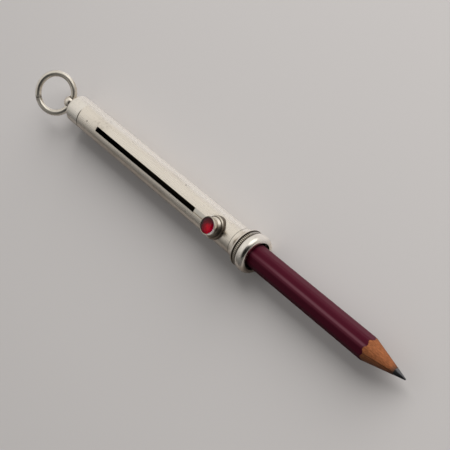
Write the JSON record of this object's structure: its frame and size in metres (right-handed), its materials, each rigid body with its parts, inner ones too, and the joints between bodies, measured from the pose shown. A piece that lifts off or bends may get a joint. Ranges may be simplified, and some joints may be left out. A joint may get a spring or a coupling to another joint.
{
  "type": "chatelaine pencil holder",
  "caption": "Slotted silver barrel with a hanging ring; a stone-set button slides a socketed wooden pencil out of its beaded mouth and back.",
  "frame": {"origin": "middle of the part's box in X and Y, at its lowest point in Z", "axes": "+X along the barrel from the ring towards the pencil's point, +Z out through the button, +Y to the left of the slot when looking along +X from above"},
  "size_m": [0.1612, 0.0144, 0.0143],
  "materials": {
    "silver": "worn satin silver",
    "inner_silver": "drawn, unpolished silver",
    "foil": "thin tinted foil",
    "stone": "polished red paste",
    "wood": "cut cedar",
    "graphite": "sharpened graphite",
    "lacquer": "glossy maroon lacquer"
  },
  "bodies": {
    "barrel": {"barrel_tube": "silver", "end_cap": "silver", "finial_ball": "silver", "mouth_collar": "silver", "mouth_fillet": "silver", "mouth_bead": "silver"},
    "carriage": {"carriage_tube": "inner_silver", "stop_disc": "inner_silver", "slider_stem": "inner_silver", "stem_washer": "inner_silver", "button_foot": "silver", "button_body": "silver", "stone_bezel": "silver", "stone_foil": "foil", "stone": "stone"},
    "pencil": {"slat_left": "wood", "slat_right": "wood", "pencil_lead": "graphite", "pencil_lacquer": "lacquer"},
    "ring": {"suspension_ring": "silver"}
  },
  "joints": [
    {"name": "button_slide", "type": "slide", "parent": "barrel", "child": "carriage", "axis": [1, 0, 0], "range_m": [-0.0568, 0]},
    {"name": "pencil_pull", "type": "slide", "parent": "carriage", "child": "pencil", "axis": [1, 0, 0], "range_m": [0, 0.016]},
    {"name": "ring_swing", "type": "hinge", "parent": "barrel", "child": "ring", "pos_m": [-0.06839, 0, 0.00593], "axis": [0, 1, 0], "range_deg": [-175, 129]}
  ]
}
